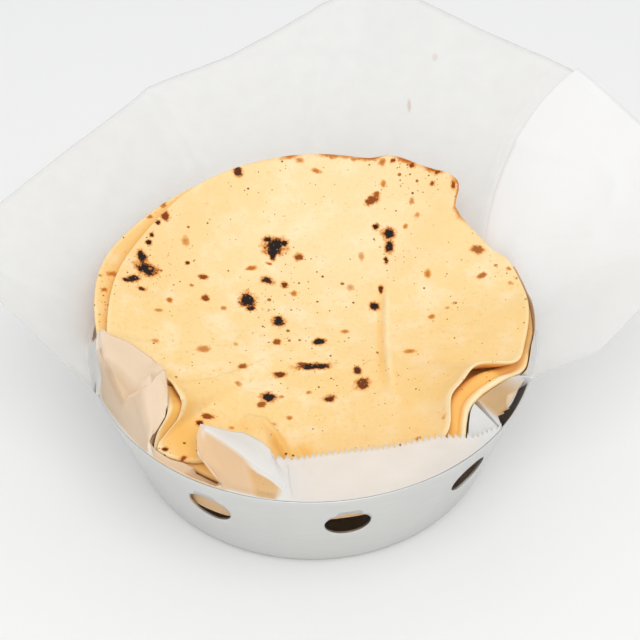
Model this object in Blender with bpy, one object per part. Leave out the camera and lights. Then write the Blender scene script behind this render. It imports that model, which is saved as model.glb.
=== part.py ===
"""Chapatis stacked in the mouth of a round steel basket, on a sheet of baking paper.

Metres, +Z up. The origin is the middle of the basket's underside, and the front is -Y. The stack is
wider than the basket, so it hangs cupped on the paper and the rim. The paper lines the wall, flares
out as wings at the left, back and right, and is folded in at the front.
"""

import math

import bmesh
import bpy
from mathutils import Matrix, Vector

MM = 0.001

# Basket: one spun sheet of steel, wider at the rim, with a row of round holes.
RIM_RADIUS = 120 * MM
FLOOR_RADIUS = 100 * MM
BASKET_HEIGHT = 70 * MM
STEEL = 1.0 * MM
FLOOR_CORNER = 5 * MM
WALL_SIDES = 80
HOLE_COUNT = 10
HOLE_RADIUS = 11.6 * MM
HOLE_HEIGHT = 44.3 * MM
HOLE_SIDES = 20
FIRST_HOLE = -81.5

# Stack: thin round breads, cupped by the basket's mouth and lifted at the back.
LAYERS = 6
BREAD = 2.7 * MM
AIR = 0.7 * MM
LOOSENING = 0.055
TOP_MIDDLE = 66 * MM
BREAD_RADIUS = 118 * MM
BACK_SHIFT = 5 * MM
EDGE_LIFT = 17 * MM
BACK_LIFT = 17.5 * MM
CUP_POWER = 2.2
FOLD_POWER = 8
FOLD_BLUR = 24
FOLD_FADE = 0.14
WALL_CLEARANCE = 4.5 * MM
RING_SHARES = (0.36, 0.66, 0.87)

# Folds round the edge: angle, half width, squareness, and what they add to reach and height in mm.
FOLDS = (
    (176, 34, 2, -9, 5),
    (146, 18, 2, -1, -6),
    (-157, 13, 6, 0, 9),
    (-139.9, 6, 8, -22, 14.5),
    (-121, 12, 2, -4, -3.5),
    (-100, 36, 6, -1, 1.5),
    (-53, 8, 2, -7, 7),
    (-35.5, 12.5, 4, -21, 8),
    (-14, 14, 2, -3, 3),
    (24, 18, 4, 1.5, -8),
    (38, 6, 2, -4, -4),
    (50, 6, 2, 0, 3),
    (57, 14, 6, 1, 6.5),
    (84, 26, 2, 1, 2.5),
)
# Where the second bread sticks out past the top one: angle, half width, squareness and reach in mm.
SECOND_SHOWS = (
    (158, 34, 2, 11),
    (-32, 14, 4, 11.5),
    (-8, 14, 2, 3),
)
# Where the breads under the second one stay back.
LOWER_HIDES = (-30, 16, 4, -8)
UNEVEN = (0, 0, -2, 1, -1.5, 0.5)
# The top bread curls up by itself over the front right fold.
CURL = (-34, 17, 4, 7)
CURL_POWER = 10

# Paper sheet, thicker here than the real one.
PAPER = 0.6 * MM
PAPER_GAP = 0.6 * MM
COARSE_STEP = 7.5
FINE_SPANS = ((-137, -134, 1.5), (-160, -20, 3), (30, 60, 3))
# The sheet hangs deeper between the stack and the wall here: angle, half width, squareness, drop in mm.
POCKET = (-118, 12, 4, 8)
# The sheet's edge: rim angle, then x, y, z and outward arch in mm, and 1 where it crosses the rim.
SHEET_EDGE = (
    (-157.5, -112, -46, 72.5, 0, 1),
    (-154.5, -111, -20, 91, 16, 1),
    (-151.5, -98, -26, 93, 22, 1),
    (-148.5, -88, -33, 93, 24, 1),
    (-145.5, -78, -44, 93, 21, 1),
    (-142.5, -72, -55, 92.5, 15, 1),
    (-139.5, -71, -63, 91, 9, 1),
    (-136.5, -72, -73, 88, 4, 1),
    (-133.5, -77, -84, 79, 2, 1),
    (-130.5, -77, -90, 73, 0, 1),
    (-112.5, -45.5, -109, 73, 0, 1),
    (-111, -47, -104, 76, 0, 1),
    (-109.5, -55, -79, 82.5, 3, 1),
    (-106.5, -46, -82, 82, 3, 1),
    (-102, -30, -88, 82, 3, 1),
    (-99, -21, -97, 80, 3, 1),
    (-84, 8, -99, 80, 3, 1),
    (-67.5, 38, -95, 80, 3, 1),
    (-55.5, 61, -88, 79, 3, 1),
    (-46.5, 80, -85, 76, 0, 1),
    (-40.5, 90, -77, 73, 0, 1),
    (-37.5, 95, -68, 72, 0, 0.3),
    (-31.5, 93, -58, 70, 0, 0),
    (-25.5, 104.5, -48, 71, 0, 0),
    (-22.5, 109.5, -45.5, 74, 0, 1),
    (-19.5, 115, -40, 74, 0, 1),
    (-12, 148, -36, 88.5, 0, 1),
    (10.5, 227, 32, 133, 0, 1),
    (45, 161, 162, 135, 0, 1),
    (82.5, 40, 255, 152, 0, 1),
    (97.5, -50, 202, 123, 0, 1),
    (120, -99, 174, 118, 0, 1),
    (172.5, -197, 21, 117, 0, 1),
    (202.5, -112, -46, 72.5, 0, 1),
)


def clear_scene():
    for item in list(bpy.data.objects):
        bpy.data.objects.remove(item, do_unlink=True)


def finish(name, color, roughness, metallic):
    material = bpy.data.materials.new(name)
    material.use_nodes = True
    shader = material.node_tree.nodes["Principled BSDF"]
    shader.inputs["Base Color"].default_value = (*color, 1)
    shader.inputs["Roughness"].default_value = roughness
    shader.inputs["Metallic"].default_value = metallic
    return material


def place(name, bm, material):
    """Turn a bmesh into the object of that name."""
    mesh = bpy.data.meshes.new(name)
    bm.to_mesh(mesh)
    bm.free()
    mesh.shade_smooth()
    mesh.set_sharp_from_angle(angle=math.radians(35))
    item = bpy.data.objects.new(name, mesh)
    item.data.materials.append(material)
    bpy.context.scene.collection.objects.link(item)
    return item


def around(angle, radius, height):
    turn = math.radians(angle)
    return Vector((radius * math.cos(turn), radius * math.sin(turn), height))


def wall_radius(height):
    """Outer radius of the basket's wall."""
    return FLOOR_RADIUS + (RIM_RADIUS - FLOOR_RADIUS) * height / BASKET_HEIGHT


def bell(angle, centre, width, squareness):
    away = (angle - centre + 180) % 360 - 180
    return math.exp(-abs(away / width) ** squareness)


def edge_reach(angle):
    """How far the top bread reaches from the basket's axis."""
    turn = math.radians(angle)
    reach = BACK_SHIFT * math.sin(turn) + math.sqrt(
        BREAD_RADIUS ** 2 - (BACK_SHIFT * math.cos(turn)) ** 2)
    return reach + sum(bell(angle, *fold[:3]) * fold[3] * MM for fold in FOLDS)


def edge_lift(angle):
    """How far the top bread's edge lies above its middle."""
    lift = EDGE_LIFT + BACK_LIFT * math.sin(math.radians(angle))
    return lift + sum(bell(angle, *fold[:3]) * fold[4] * MM for fold in FOLDS)


def broad_lift(angle):
    """The edge's height with its sharp folds smoothed out."""
    steps = [angle + FOLD_BLUR * share for share in (-1, -0.75, -0.5, -0.25, 0, 0.25, 0.5, 0.75, 1)]
    return sum(edge_lift(step) for step in steps) / len(steps)


def cupping(layer, angle, radius):
    """Height above the middle: a broad cup, with the folds only near the edge."""
    share = radius / edge_reach(angle)
    inner = min(share, 1)
    broad = broad_lift(angle)
    cup = broad * (inner ** CUP_POWER + CUP_POWER * (share - inner))
    fold = (edge_lift(angle) - broad) * inner ** FOLD_POWER
    if fold > 0:
        fold *= 1 - layer * FOLD_FADE
    return cup + fold


def layer_top(layer, angle, radius):
    """Height of a bread's upper face. Layer 0 is the top one."""
    height = TOP_MIDDLE - layer * (BREAD + AIR)
    height += cupping(layer, angle, radius) * (1 - layer * LOOSENING)
    if layer == 0:
        share = min(radius / edge_reach(angle), 1)
        height += bell(angle, *CURL[:3]) * CURL[3] * MM * share ** CURL_POWER
    return height


def layer_reach(layer, angle):
    """Edge radius of a bread, drawn in where it lies inside the basket's wall."""
    reach = edge_reach(angle) + UNEVEN[layer] * MM
    if layer == 1:
        reach += sum(bell(angle, *show[:3]) * show[3] * MM for show in SECOND_SHOWS)
    elif layer > 1:
        reach += bell(angle, *LOWER_HIDES[:3]) * LOWER_HIDES[3] * MM
    underside = layer_top(layer, angle, reach) - BREAD
    room = wall_radius(min(underside, BASKET_HEIGHT)) - WALL_CLEARANCE
    if layer == LAYERS - 1 or underside < BASKET_HEIGHT + 3.5 * MM:
        reach = min(reach, room)
    return reach


def spoke_angles():
    """Angles of the radial lines that the breads and the paper share."""
    angles = []
    angle = -180
    while angle < 180:
        angles.append(angle)
        steps = [step for low, high, step in FINE_SPANS if low <= angle < high]
        angle += steps[0] if steps else COARSE_STEP
    return angles


SPOKES = spoke_angles()


def sheet_faces(bm, middle, rings, upward):
    """Close a polar net of vertices with triangles, both faces of a piece split alike."""
    count = len(SPOKES)
    for index in range(count):
        after = (index + 1) % count
        corners = [middle, rings[0][index], rings[0][after]]
        bm.faces.new(corners if upward else corners[::-1])
        for inner, outer in zip(rings, rings[1:]):
            for corners in ([inner[index], outer[index], outer[after]],
                            [inner[index], outer[after], inner[after]]):
                bm.faces.new(corners if upward else corners[::-1])


def bread(layer, material):
    """A thin round bread between two nets of the same radial lines."""
    bm = bmesh.new()
    faces = []
    for drop in (0, BREAD):
        middle = bm.verts.new((0, 0, layer_top(layer, 0, 0) - drop))
        rings = []
        for share in RING_SHARES:
            rings.append([bm.verts.new(around(angle, share * edge_reach(angle), layer_top(
                layer, angle, share * edge_reach(angle)) - drop)) for angle in SPOKES])
        rings.append([bm.verts.new(around(angle, layer_reach(layer, angle), layer_top(
            layer, angle, layer_reach(layer, angle)) - drop)) for angle in SPOKES])
        faces.append(rings)
        sheet_faces(bm, middle, rings, upward=drop == 0)
    upper, lower = faces[0][-1], faces[1][-1]
    for index in range(len(SPOKES)):
        after = (index + 1) % len(SPOKES)
        bm.faces.new((upper[index], lower[index], lower[after], upper[after]))
    return place(f"chapati_{LAYERS - layer}", bm, material)


def sheet_edge(angle):
    """Where the paper ends on this line: edge point, arch, and whether it crosses the rim."""
    if angle < SHEET_EDGE[0][0]:
        angle += 360
    for before, after in zip(SHEET_EDGE, SHEET_EDGE[1:]):
        if before[0] <= angle <= after[0]:
            share = (angle - before[0]) / (after[0] - before[0])
            row = [low + share * (high - low) for low, high in zip(before, after)]
            return Vector(row[1:4]) * MM, row[4] * MM, row[5]


def paper_line(angle):
    """Points of the paper's upper face along one radial line, from the middle outwards."""
    last = LAYERS - 1
    points = []
    for share in RING_SHARES:
        radius = share * edge_reach(angle)
        points.append(around(angle, radius, layer_top(last, angle, radius) - BREAD - PAPER_GAP))
    lining = STEEL * 1.04 + PAPER_GAP + PAPER
    foot_radius = layer_reach(last, angle)
    foot_height = layer_top(last, angle, foot_radius) - BREAD - PAPER_GAP
    foot_height -= bell(angle, *POCKET[:3]) * POCKET[3] * MM
    foot_radius = min(foot_radius + 1.5 * MM, wall_radius(foot_height) - lining)
    points.append(around(angle, foot_radius, foot_height))

    end, arch, crosses = sheet_edge(angle)
    rim_height = max(BASKET_HEIGHT + PAPER_GAP + PAPER, foot_height + 0.5 * MM)
    middle_height = (foot_height + rim_height) / 2
    wall_line = wall_radius(min(middle_height, BASKET_HEIGHT)) - lining
    middle_radius = foot_radius + 0.9 * (wall_line - foot_radius)
    rim = around(angle, RIM_RADIUS - lining, rim_height)
    out = around(angle, RIM_RADIUS + 0.6 * MM, rim_height)
    flare = end.xy.length > out.xy.length
    start = out if flare else rim
    outward = around(angle, 1, 1)
    control = (start + end) / 2 + outward * arch
    lined = [around(angle, middle_radius, middle_height), rim]
    if flare:
        lined.append(out)
    steps = 6 - len(lined)
    for step in range(1, steps + 1):
        t = step / steps
        lined.append(start * (1 - t) ** 2 + control * 2 * t * (1 - t) + end * t ** 2)
    foot = points[-1]
    free = [foot.lerp(end, step / 6) for step in range(1, 7)]
    points += [loose.lerp(held, crosses) for loose, held in zip(free, lined)]
    return points


def liner(material):
    bm = bmesh.new()
    middle = bm.verts.new((0, 0, layer_top(LAYERS - 1, 0, 0) - BREAD - PAPER_GAP))
    lines = [paper_line(angle) for angle in SPOKES]
    rings = [[bm.verts.new(point) for point in ring] for ring in zip(*lines)]
    sheet_faces(bm, middle, rings, upward=True)
    item = place("liner", bm, material)
    thicken = item.modifiers.new("thickness", "SOLIDIFY")
    thicken.thickness = PAPER
    thicken.offset = -1
    return item


def basket(material):
    """Floor and wall turned from one profile, pierced by a ring of holes."""
    lean = STEEL * 1.04
    corner = FLOOR_CORNER * (1 - math.sqrt(0.5))
    inner_corner = FLOOR_CORNER - STEEL
    profile = (
        (0, 0),
        (FLOOR_RADIUS - FLOOR_CORNER, 0),
        (wall_radius(corner) - corner, corner),
        (wall_radius(FLOOR_CORNER), FLOOR_CORNER),
        (RIM_RADIUS, BASKET_HEIGHT),
        (RIM_RADIUS - lean, BASKET_HEIGHT),
        (wall_radius(FLOOR_CORNER) - lean, FLOOR_CORNER),
        (FLOOR_RADIUS - inner_corner - lean, STEEL),
        (0, STEEL),
    )
    bm = bmesh.new()
    verts = [bm.verts.new((radius, 0, height)) for radius, height in profile]
    edges = [bm.edges.new(pair) for pair in zip(verts, verts[1:])]
    bmesh.ops.spin(bm, geom=verts + edges, cent=(0, 0, 0), axis=(0, 0, 1),
                   angle=math.tau, steps=WALL_SIDES, use_merge=True)
    bmesh.ops.remove_doubles(bm, verts=bm.verts, dist=0.01 * MM)
    bmesh.ops.recalc_face_normals(bm, faces=bm.faces)
    item = place("basket", bm, material)

    cutters = bmesh.new()
    lean_angle = math.atan((RIM_RADIUS - FLOOR_RADIUS) / BASKET_HEIGHT)
    for index in range(HOLE_COUNT):
        angle = FIRST_HOLE + 360 / HOLE_COUNT * index
        centre = around(angle, wall_radius(HOLE_HEIGHT) - STEEL / 2, HOLE_HEIGHT)
        turn = Matrix.Rotation(math.radians(angle), 4, "Z") @ Matrix.Rotation(
            math.pi / 2 + lean_angle, 4, "Y")
        bmesh.ops.create_cone(
            cutters, cap_ends=True, segments=HOLE_SIDES, radius1=HOLE_RADIUS,
            radius2=HOLE_RADIUS, depth=12 * MM, matrix=Matrix.Translation(centre) @ turn)
    cutter = place("hole_cutter", cutters, material)
    cutter.hide_render = True
    cutter.display_type = "WIRE"
    pierce = item.modifiers.new("holes", "BOOLEAN")
    pierce.operation = "DIFFERENCE"
    pierce.object = cutter
    return item


clear_scene()
basket(finish("satin steel", (0.60, 0.60, 0.59), 0.38, 1.0))
liner(finish("baking paper", (0.86, 0.85, 0.82), 0.6, 0.0))
for depth in range(LAYERS):
    shade = 1 - 0.03 * depth
    bread(depth, finish(f"baked flour {depth + 1}", (0.93 * shade, 0.69 * shade, 0.36 * shade), 0.75, 0.0))
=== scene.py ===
"""A stack of chapatis in the mouth of a round steel basket, on a sheet of baking paper."""

import math

import bmesh
import bpy
import numpy as np
from mathutils import Matrix, Vector


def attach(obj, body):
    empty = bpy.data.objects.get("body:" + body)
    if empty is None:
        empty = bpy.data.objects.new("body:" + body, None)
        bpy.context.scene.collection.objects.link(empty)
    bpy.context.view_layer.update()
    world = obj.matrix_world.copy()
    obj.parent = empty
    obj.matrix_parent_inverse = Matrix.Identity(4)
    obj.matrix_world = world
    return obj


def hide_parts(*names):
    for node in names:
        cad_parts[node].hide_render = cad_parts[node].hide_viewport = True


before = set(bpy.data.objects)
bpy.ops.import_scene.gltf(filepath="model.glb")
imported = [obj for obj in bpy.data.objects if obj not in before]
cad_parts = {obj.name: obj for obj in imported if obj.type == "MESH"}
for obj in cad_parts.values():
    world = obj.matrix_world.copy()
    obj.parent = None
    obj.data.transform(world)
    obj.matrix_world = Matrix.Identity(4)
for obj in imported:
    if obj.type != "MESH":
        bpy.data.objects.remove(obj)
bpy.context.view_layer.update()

MM = 0.001


# ----------------------------------------------------------
# The floor and the light: a plain pale floor under a large soft window from above, with the
# viewer looking down on the basket from the front.
# ----------------------------------------------------------

VIEW_FROM = (0, -0.51286, 0.53642)
VIEW_TURN = (48.281, 0.241, -0.710)
LENS = 71.775
GROUND_RADIUS = 4
GROUND_SIDES = 96
FLOOR_TINT = (0.88, 0.88, 0.87)
FLOOR_MOTTLE = 0.985
SKY_TINT = (0.97, 0.985, 1.0)
SKY_POWER = 0.78
WINDOW_TINT = (1.0, 0.985, 0.96)
WINDOW_POWER = 18
WINDOW_SIZE = 2.0
WINDOW_PLACE = (0.2, -0.9, 1.9)
SHARP_CORNER = 38


def new_finish(name, values):
    """A material with these plain values on its shader."""
    finish = bpy.data.materials.new(name)
    finish.use_nodes = True
    for socket, value in values.items():
        finish.node_tree.nodes["Principled BSDF"].inputs[socket].default_value = value
    return finish


def feed(finish, value, socket):
    """Let a value that changes over the surface drive one of the shader's sockets."""
    shader = finish.node_tree.nodes["Principled BSDF"]
    finish.node_tree.links.new(value, shader.inputs[socket])


def add_node(finish, kind, sockets, **settings):
    """A node whose sockets hold plain values, or what other nodes put out."""
    made = finish.node_tree.nodes.new(f"ShaderNode{kind}")
    for name, value in settings.items():
        setattr(made, name, value)
    for socket, value in sockets.items():
        if isinstance(value, bpy.types.NodeSocket):
            finish.node_tree.links.new(value, made.inputs[socket])
        else:
            made.inputs[socket].default_value = value
    return made


def own_place(finish, stretch=(1, 1, 1)):
    """A piece's own coordinates, stretched along its axes."""
    source = add_node(finish, "TexCoord", {})
    mapping = add_node(finish, "Mapping", {"Vector": source.outputs["Object"], "Scale": stretch})
    return mapping.outputs["Vector"]


def noise(finish, scale, detail, roughness=0.5, stretch=(1, 1, 1)):
    """Soft cloudy unevenness, from 0 to 1."""
    return add_node(finish, "TexNoise", {
        "Vector": own_place(finish, stretch), "Scale": scale, "Detail": detail,
        "Roughness": roughness}).outputs["Fac"]


def blend(finish, amount, under, over):
    """Lay one colour over another, as much as the amount says."""
    under, over = [(*color, 1) if isinstance(color, tuple) else color for color in (under, over)]
    mix = add_node(finish, "Mix", {"Factor": amount, "A": under, "B": over}, data_type="RGBA")
    return mix.outputs["Result"]


def as_mesh(name, shape):
    """The mesh of a modelled shape, which is then let go."""
    mesh = bpy.data.meshes.new(name)
    shape.to_mesh(mesh)
    shape.free()
    return mesh


def show(name, mesh, finish):
    """Put a finished mesh in the scene, smooth but for its true corners."""
    mesh.shade_smooth()
    mesh.set_sharp_from_angle(angle=math.radians(SHARP_CORNER))
    mesh.materials.append(finish)
    piece = bpy.data.objects.new(name, mesh)
    bpy.context.scene.collection.objects.link(piece)
    return piece


def pale_floor():
    """A matt, faintly mottled surface."""
    finish = new_finish("pale floor", {"Roughness": 0.8})
    shaded = tuple(part * FLOOR_MOTTLE for part in FLOOR_TINT)
    feed(finish, blend(finish, noise(finish, 9, 3), shaded, FLOOR_TINT), "Base Color")
    return finish


def lay_floor():
    shape = bmesh.new()
    bmesh.ops.create_circle(shape, cap_ends=True, segments=GROUND_SIDES, radius=GROUND_RADIUS)
    show("floor", as_mesh("floor", shape), pale_floor())


def light_and_view():
    world = bpy.data.worlds.new("soft daylight")
    world.use_nodes = True
    sky = world.node_tree.nodes["Background"]
    sky.inputs["Color"].default_value = (*SKY_TINT, 1)
    sky.inputs["Strength"].default_value = SKY_POWER
    bpy.context.scene.world = world
    bpy.context.scene.view_settings.view_transform = "Standard"

    window = bpy.data.lights.new("window", "AREA")
    window.shape = "DISK"
    window.size = WINDOW_SIZE
    window.energy = WINDOW_POWER
    window.color = WINDOW_TINT
    lamp = bpy.data.objects.new("window", window)
    lamp.location = WINDOW_PLACE
    lamp.rotation_euler = Vector(WINDOW_PLACE).to_track_quat("Z", "Y").to_euler()
    bpy.context.scene.collection.objects.link(lamp)

    lens = bpy.data.cameras.new("view")
    lens.lens = LENS
    camera = bpy.data.objects.new("view", lens)
    camera.location = VIEW_FROM
    camera.rotation_euler = [math.radians(turn) for turn in VIEW_TURN]
    bpy.context.scene.collection.objects.link(camera)
    bpy.context.scene.camera = camera


lay_floor()
light_and_view()


# ----------------------------------------------------------
# Basket: one disc of stainless steel spun over a former into a floor and a leaning wall, with its
# rim dressed round, a ring of ten punched holes, and a satin finish that runs round the wall.
# ----------------------------------------------------------

RIM_RADIUS = 120 * MM
FLOOR_RADIUS = 100 * MM
BASKET_HEIGHT = 70 * MM
STEEL = 1.0 * MM
LEVEL_STEEL = STEEL * 1.04
FLOOR_CORNER = 5 * MM
FLOOR_BANDS = (0.4, 0.8)
LIP = 0.35 * MM
WALL_SIDES = 288
WALL_BANDS = 12
HOLE_COUNT = 10
HOLE_RADIUS = 11.6 * MM
HOLE_HEIGHT = 44.3 * MM
HOLE_SIDES = 64
FIRST_HOLE = -81.5
PUNCH_LENGTH = 12 * MM
DULL_STEEL = (0.67, 0.67, 0.66)
BRIGHT_STEEL = (0.78, 0.78, 0.765)


def wall_radius(height):
    """Outer radius of the basket's wall."""
    return FLOOR_RADIUS + (RIM_RADIUS - FLOOR_RADIUS) * height / BASKET_HEIGHT


def spun(name, profile, steps, closed=True):
    """Turn a profile once round the axis, and close its seam and poles."""
    shape = bmesh.new()
    points = [shape.verts.new((reach, 0, level)) for reach, level in profile]
    lines = [shape.edges.new(pair) for pair in zip(points, points[1:])]
    bmesh.ops.spin(shape, geom=points + lines, cent=(0, 0, 0), axis=(0, 0, 1),
                   angle=math.tau, steps=steps, use_merge=True)
    bmesh.ops.remove_doubles(shape, verts=shape.verts, dist=1e-6)
    bmesh.ops.recalc_face_normals(shape, faces=shape.faces)
    if not closed and sum(face.normal.z for face in shape.faces) < 0:
        bmesh.ops.reverse_faces(shape, faces=shape.faces)
    return as_mesh(name, shape)


def arc(centre, radius, first, last, steps):
    """Points of a rounded corner in a profile."""
    turns = [math.radians(first + (last - first) * step / steps) for step in range(steps + 1)]
    return [(centre[0] + radius * math.cos(turn), centre[1] + radius * math.sin(turn))
            for turn in turns]


def basket_profile():
    """The basket's wall and floor cut through: along the outside, round the rim and back inside."""
    slope = math.degrees(math.atan((RIM_RADIUS - FLOOR_RADIUS) / BASKET_HEIGHT))
    centre = (wall_radius(FLOOR_CORNER) - FLOOR_CORNER / math.cos(math.radians(slope)), FLOOR_CORNER)
    outer = arc(centre, FLOOR_CORNER, -90, -slope, 8)
    inner = arc(centre, FLOOR_CORNER - STEEL, -slope, -90, 6)
    profile = [(0, 0)] + [(share * FLOOR_RADIUS, 0) for share in FLOOR_BANDS] + outer
    top = BASKET_HEIGHT - LIP
    for band in range(1, WALL_BANDS + 1):
        height = outer[-1][1] + (top - outer[-1][1]) * band / WALL_BANDS
        profile.append((wall_radius(height), height))
    profile += arc((wall_radius(top) - LIP, top), LIP, 0, 90, 3)[1:]
    profile += arc((wall_radius(top) - LEVEL_STEEL + LIP, top), LIP, 90, 180, 3)
    for band in range(WALL_BANDS - 1, 0, -1):
        height = inner[0][1] + (top - inner[0][1]) * band / WALL_BANDS
        profile.append((wall_radius(height) - LEVEL_STEEL, height))
    inside = [(share * FLOOR_RADIUS, STEEL) for share in reversed(FLOOR_BANDS)]
    return profile + inner + inside + [(0, STEEL)]


def punch_holes(piece):
    """Cut the ring of round holes square to the leaning wall."""
    cutters = bmesh.new()
    lean = math.atan((RIM_RADIUS - FLOOR_RADIUS) / BASKET_HEIGHT)
    reach = wall_radius(HOLE_HEIGHT) - STEEL / 2
    for index in range(HOLE_COUNT):
        turn = math.radians(FIRST_HOLE + 360 / HOLE_COUNT * index)
        place = Matrix.Translation((reach * math.cos(turn), reach * math.sin(turn), HOLE_HEIGHT))
        place = place @ Matrix.Rotation(turn, 4, "Z") @ Matrix.Rotation(math.pi / 2 + lean, 4, "Y")
        bmesh.ops.create_cone(cutters, cap_ends=True, segments=HOLE_SIDES, radius1=HOLE_RADIUS,
                              radius2=HOLE_RADIUS, depth=PUNCH_LENGTH, matrix=place)
    cutter = bpy.data.objects.new("hole_cutter", as_mesh("hole_cutter", cutters))
    bpy.context.scene.collection.objects.link(cutter)
    pierce = piece.modifiers.new("holes", "BOOLEAN")
    pierce.operation = "DIFFERENCE"
    pierce.object = cutter
    bpy.context.view_layer.update()
    pierced = bpy.data.meshes.new_from_object(
        piece.evaluated_get(bpy.context.evaluated_depsgraph_get()))
    piece.modifiers.remove(pierce)
    piece.data = pierced
    bpy.data.objects.remove(cutter, do_unlink=True)


def between(finish, value, low, high, to_low=0.0, to_high=1.0, eased=True):
    """The value's range from low to high, stretched to another range."""
    return add_node(finish, "MapRange", {
        "Value": value, "From Min": low, "From Max": high, "To Min": to_low, "To Max": to_high,
    }, interpolation_type="SMOOTHSTEP" if eased else "LINEAR").outputs["Result"]


def add_relief(finish, height, strength, depth):
    """Let a pattern stand up from the surface."""
    bump = add_node(finish, "Bump", {"Height": height, "Strength": strength, "Distance": depth})
    feed(finish, bump.outputs["Normal"], "Normal")


def satin_steel():
    """Fine lines run round the wall, over faint cloudy handling marks."""
    finish = new_finish("satin steel", {"Metallic": 1.0, "Anisotropic": 0.35})
    lines = noise(finish, 1, 2, stretch=(60, 60, 2600))
    clouds = noise(finish, 38, 3, stretch=(1, 1, 0.6))
    feed(finish, blend(finish, lines, DULL_STEEL, BRIGHT_STEEL), "Base Color")
    feed(finish, between(finish, clouds, 0.3, 0.7, 0.33, 0.44, eased=False), "Roughness")
    add_relief(finish, lines, 0.12, 0.2 * MM)
    return finish


basket = show("spun_basket", spun("spun_basket", basket_profile(), WALL_SIDES), satin_steel())
punch_holes(basket)
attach(basket, "root")
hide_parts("basket")


# ----------------------------------------------------------
# The stack's lie: six soft round breads, one on another, hang cupped in the basket's mouth, and
# fold where they meet its rim. The paper goes in before them and follows this shape.
# ----------------------------------------------------------

LAYERS = 6
BREAD = 2.7 * MM
AIR = 0.7 * MM
LOOSENING = 0.055
TOP_MIDDLE = 66 * MM
BREAD_RADIUS = 118 * MM
BACK_SHIFT = 5 * MM
EDGE_LIFT = 17 * MM
BACK_LIFT = 17.5 * MM
CUP_POWER = 2.2
FOLD_POWER = 8
FOLD_BLUR = 24
FOLD_FADE = 0.14
WALL_CLEARANCE = 4.5 * MM
RIM_CLEARANCE = 3.5 * MM

# Folds round the stack's edge: angle, half width, squareness, and reach and height added in mm.
FOLDS = (
    (176, 34, 2, -9, 5),
    (146, 18, 2, -1, -6),
    (-157, 13, 6, 0, 9),
    (-139.9, 6, 8, -22, 14.5),
    (-121, 12, 2, -4, -3.5),
    (-100, 36, 6, -1, 1.5),
    (-53, 8, 2, -7, 7),
    (-35.5, 12.5, 4, -21, 8),
    (-14, 14, 2, -3, 3),
    (24, 18, 4, 1.5, -8),
    (38, 6, 2, -4, -4),
    (50, 6, 2, 0, 3),
    (57, 14, 6, 1, 6.5),
    (84, 26, 2, 1, 2.5),
)
# Where the second bread sticks out at the left: angle, half width, squareness, reach in mm.
SECOND_SHOWS = (158, 34, 2, 11)
# What the two upper breads' edges add to the stack's reach, mostly in the tucks at the front and
# at the back right: angle, reach in mm.
TOP_EDGE = (
    (-145, 0), (-142, -1.5), (-140, -1), (-138, 0.2), (-136, 1), (-135, -1.2), (-134, -3.8),
    (-133.2, 2.5), (-132, 3.2), (-129, 3.2), (-127, 1.8), (-125, 0.2), (-123, -1.5), (-121, -4.2),
    (-118, -3.6), (-115, -2.8), (-111, 0), (23, 0), (28, -4), (30, -4), (32, -2.8), (34, -1),
    (37, 0.7), (40, -0.2), (42, -2.8), (44.5, -4.2), (46, 2.5), (47, 3.4), (50, 2.5), (54, 1.2),
    (70, 1), (80, 0),
)
SECOND_EDGE = (
    (-147, 0), (-144, 0), (-142, 3), (-140, 5), (-138, 7.5), (-136, 9.5), (-135, 10), (-134.3, 11),
    (-133.5, 7), (-132.5, 3.5), (-128, 2.2), (-125, 0), (-60, 0), (-54, 5), (-50, 9), (-48, 10.5),
    (-44, 11.2), (-42, 10.5), (-38, 9), (-36, 9.2), (-34, 10), (-32, 11.7), (-30, 13.2), (-28, 13.5),
    (-26, 11.7), (-24, 7.8), (-22, 4), (-20, 3), (-18, 3.5), (-12, 2.8), (-6, 3), (10, 0),
    (22, 0), (28, -4.5), (32, -3.5), (36, -1), (40, -2), (42, -4), (44.5, -6), (47, 0),
)
# Where the lower breads stay back behind the second one, and where they fill the left tuck.
LOWER_HIDES = (-30, 16, 4, -8)
LOWER_FILLS = (-134.5, 2.5, 4, 6)
# What each bread's reach adds to the stack's in mm, from the top one down.
UNEVEN = (0, 0, -2, 1, -1.5, 0.5)
# The top bread's edge curls up: angle, half width, squareness, height in mm.
CURL = (-34, 17, 4, 7)
CURL_POWER = 10


def bell(angle, centre, width, squareness):
    """1 at the centre, falling to 0 past the width, the more suddenly the squarer it is."""
    away = (angle - centre + 180) % 360 - 180
    return np.exp(-np.abs(away / width) ** squareness)


def swell(angle, spot):
    """A spot's own change of size: its angle, half width, squareness, and the change in mm."""
    return bell(angle, *spot[:3]) * spot[3] * MM


def read_off(table, angle):
    """What a table of angles and values says at this angle, in straight steps."""
    return np.interp((angle + 180) % 360 - 180, *np.transpose(table))


def edge_reach(angle):
    """How far the top bread reaches from the basket's axis."""
    turn = np.radians(angle)
    reach = BACK_SHIFT * np.sin(turn) + np.sqrt(
        BREAD_RADIUS ** 2 - (BACK_SHIFT * np.cos(turn)) ** 2)
    return reach + sum(bell(angle, *spot) * out * MM for *spot, out, _ in FOLDS)


def edge_lift(angle):
    """How far the top bread's edge lies above its middle."""
    lift = EDGE_LIFT + BACK_LIFT * np.sin(np.radians(angle))
    return lift + sum(bell(angle, *spot) * up * MM for *spot, _, up in FOLDS)


def broad_lift(angle):
    """The edge's height with its sharp folds smoothed out."""
    return sum(edge_lift(angle + FOLD_BLUR * share) for share in np.linspace(-1, 1, 9)) / 9


def cupping(layer, angle, radius):
    """Height above the middle: a broad cup, with the folds only near the edge."""
    share = radius / edge_reach(angle)
    inner = np.minimum(share, 1)
    broad = broad_lift(angle)
    fold = (edge_lift(angle) - broad) * inner ** FOLD_POWER
    fold = np.where(fold > 0, fold * (1 - layer * FOLD_FADE), fold)
    return broad * (inner ** CUP_POWER + CUP_POWER * (share - inner)) + fold


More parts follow.
